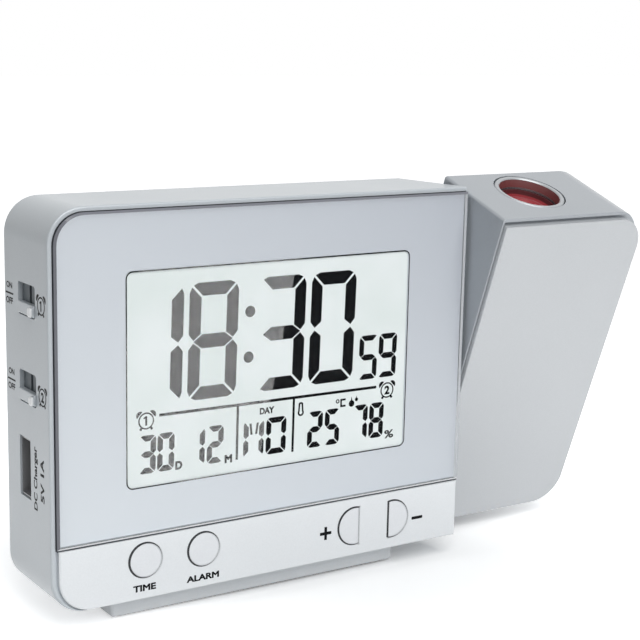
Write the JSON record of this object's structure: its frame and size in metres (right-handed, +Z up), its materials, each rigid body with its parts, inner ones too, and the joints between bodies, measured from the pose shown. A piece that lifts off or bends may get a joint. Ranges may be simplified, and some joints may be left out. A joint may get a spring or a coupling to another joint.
{
  "type": "projection alarm clock",
  "caption": "Desk alarm clock with a large liquid crystal display, front keys, side switches and a projector head that turns on a friction hinge.",
  "frame": {"origin": "centre of the underside of the stand, on the table", "axes": "+Z up, -Y towards the viewer (the display faces -Y), +X to the viewer's right, towards the projector head"},
  "size_m": [0.1571, 0.0598, 0.0951],
  "materials": {
    "silver_shell": "satin silver paint on moulded plastic",
    "silver_panel": "satin silver paint on moulded plastic",
    "silver_key": "satin silver paint on moulded plastic",
    "silver_stand": "satin silver paint on moulded plastic",
    "silver_mask": "silver print behind the window",
    "silver_ring": "satin silver paint on moulded plastic",
    "clear_window": "clear polished acrylic",
    "display_glass": "polished display glass",
    "white_plastic": "moulded",
    "black_plastic": "moulded",
    "dark_plastic": "moulded",
    "black_resin": "cast resin",
    "diffuser": "milky light guide",
    "green_board": "solder resist",
    "black_rubber": "moulded",
    "grey_rubber": "moulded",
    "steel": "zinc plated",
    "socket_steel": "nickel plated",
    "gold_contact": "gold plated",
    "copper_foil": "bare copper",
    "cell_wrap": "printed film on a steel can",
    "red_lens": "polished, red tinted",
    "clear_lens": "polished",
    "red_lamp": "clear red resin",
    "bare_aluminium": "bare extrusion"
  },
  "bodies": {
    "case": {"case_shell": "silver_shell", "rear_cover": "silver_shell", "case_screws": "steel", "window": "clear_window", "window_mask": "silver_mask", "button_fascia": "silver_panel", "key_membrane": "grey_rubber", "lcd_glass": "display_glass", "lcd_holder": "white_plastic", "holder_screws": "steel", "backlight_panel": "diffuser", "lcd_connector": "grey_rubber", "main_board": "green_board", "board_screws": "steel", "controller_chip": "black_resin", "quartz_crystal": "steel", "climate_sensor": "white_plastic", "buzzer": "black_plastic", "touch_foil": "copper_foil", "switch_guides": "dark_plastic", "slide_switches": "steel", "side_board": "green_board", "charging_socket": "socket_steel", "charging_tongue": "black_plastic", "charging_contacts": "gold_contact", "charger_board": "green_board", "power_inlet": "black_plastic", "battery_cells": "cell_wrap", "battery_contacts": "steel", "stand": "silver_stand", "stand_pad": "black_rubber", "stand_screws": "steel", "hinge_washer": "white_plastic", "friction_spring": "steel", "board_lead": "black_rubber"},
    "time_key": {"time_key": "silver_key"},
    "alarm_key": {"alarm_key": "silver_key"},
    "plus_key": {"plus_key": "silver_key"},
    "minus_key": {"minus_key": "silver_key"},
    "alarm_1_slider": {"alarm_1_slider": "silver_key"},
    "alarm_2_slider": {"alarm_2_slider": "silver_key"},
    "battery_door": {"battery_door": "silver_shell"},
    "head": {"hinge_tube": "black_plastic", "hinge_clip": "steel", "head_shell": "silver_shell", "head_front": "silver_panel", "head_screws": "steel", "lens_barrel": "black_plastic", "condenser_lens": "clear_lens", "projection_lcd": "display_glass", "led_board": "green_board", "projection_led": "red_lamp", "led_heat_sink": "bare_aluminium", "head_lead": "black_rubber"},
    "focus_ring": {"focus_ring": "silver_ring"},
    "lens_cell": {"lens_cell": "black_plastic", "projection_lens": "red_lens"}
  },
  "joints": [
    {"name": "projector_tilt", "type": "hinge", "parent": "case", "child": "head", "pos_m": [0.055, -0.0125, 0.0494], "axis": [1, 0, 0], "range_deg": [-109.4, 70.6]},
    {"name": "time_press", "type": "slide", "parent": "case", "child": "time_key", "axis": [0, 1, 0], "range_m": [0, 0.0008], "stiffness_N_per_m": 900, "springref_m": -0.0004},
    {"name": "alarm_press", "type": "slide", "parent": "case", "child": "alarm_key", "axis": [0, 1, 0], "range_m": [0, 0.0008], "stiffness_N_per_m": 900, "springref_m": -0.0004},
    {"name": "plus_press", "type": "slide", "parent": "case", "child": "plus_key", "axis": [0, 1, 0], "range_m": [0, 0.0008], "stiffness_N_per_m": 900, "springref_m": -0.0004},
    {"name": "minus_press", "type": "slide", "parent": "case", "child": "minus_key", "axis": [0, 1, 0], "range_m": [0, 0.0008], "stiffness_N_per_m": 900, "springref_m": -0.0004},
    {"name": "alarm_1_switch", "type": "slide", "parent": "case", "child": "alarm_1_slider", "axis": [0, 0, 1], "range_m": [0, 0.0038]},
    {"name": "alarm_2_switch", "type": "slide", "parent": "case", "child": "alarm_2_slider", "axis": [0, 0, 1], "range_m": [0, 0.0038]},
    {"name": "focus_turn", "type": "hinge", "parent": "head", "child": "focus_ring", "pos_m": [0.0742, -0.02542, 0.0915], "axis": [0, -0.3322, 0.9432], "range_deg": [-91, 91]},
    {"name": "lens_focus", "type": "slide", "parent": "head", "child": "lens_cell", "axis": [0, -0.3322, 0.9432], "range_m": [-0.0006, 0.0006]},
    {"name": "battery_door_pull", "type": "slide", "parent": "case", "child": "battery_door", "axis": [0, 1, 0], "range_m": [0, 0.012]}
  ],
  "couplings": [
    {"joint": "focus_turn", "follows": "lens_focus", "rad_per_m": 2618}
  ]
}
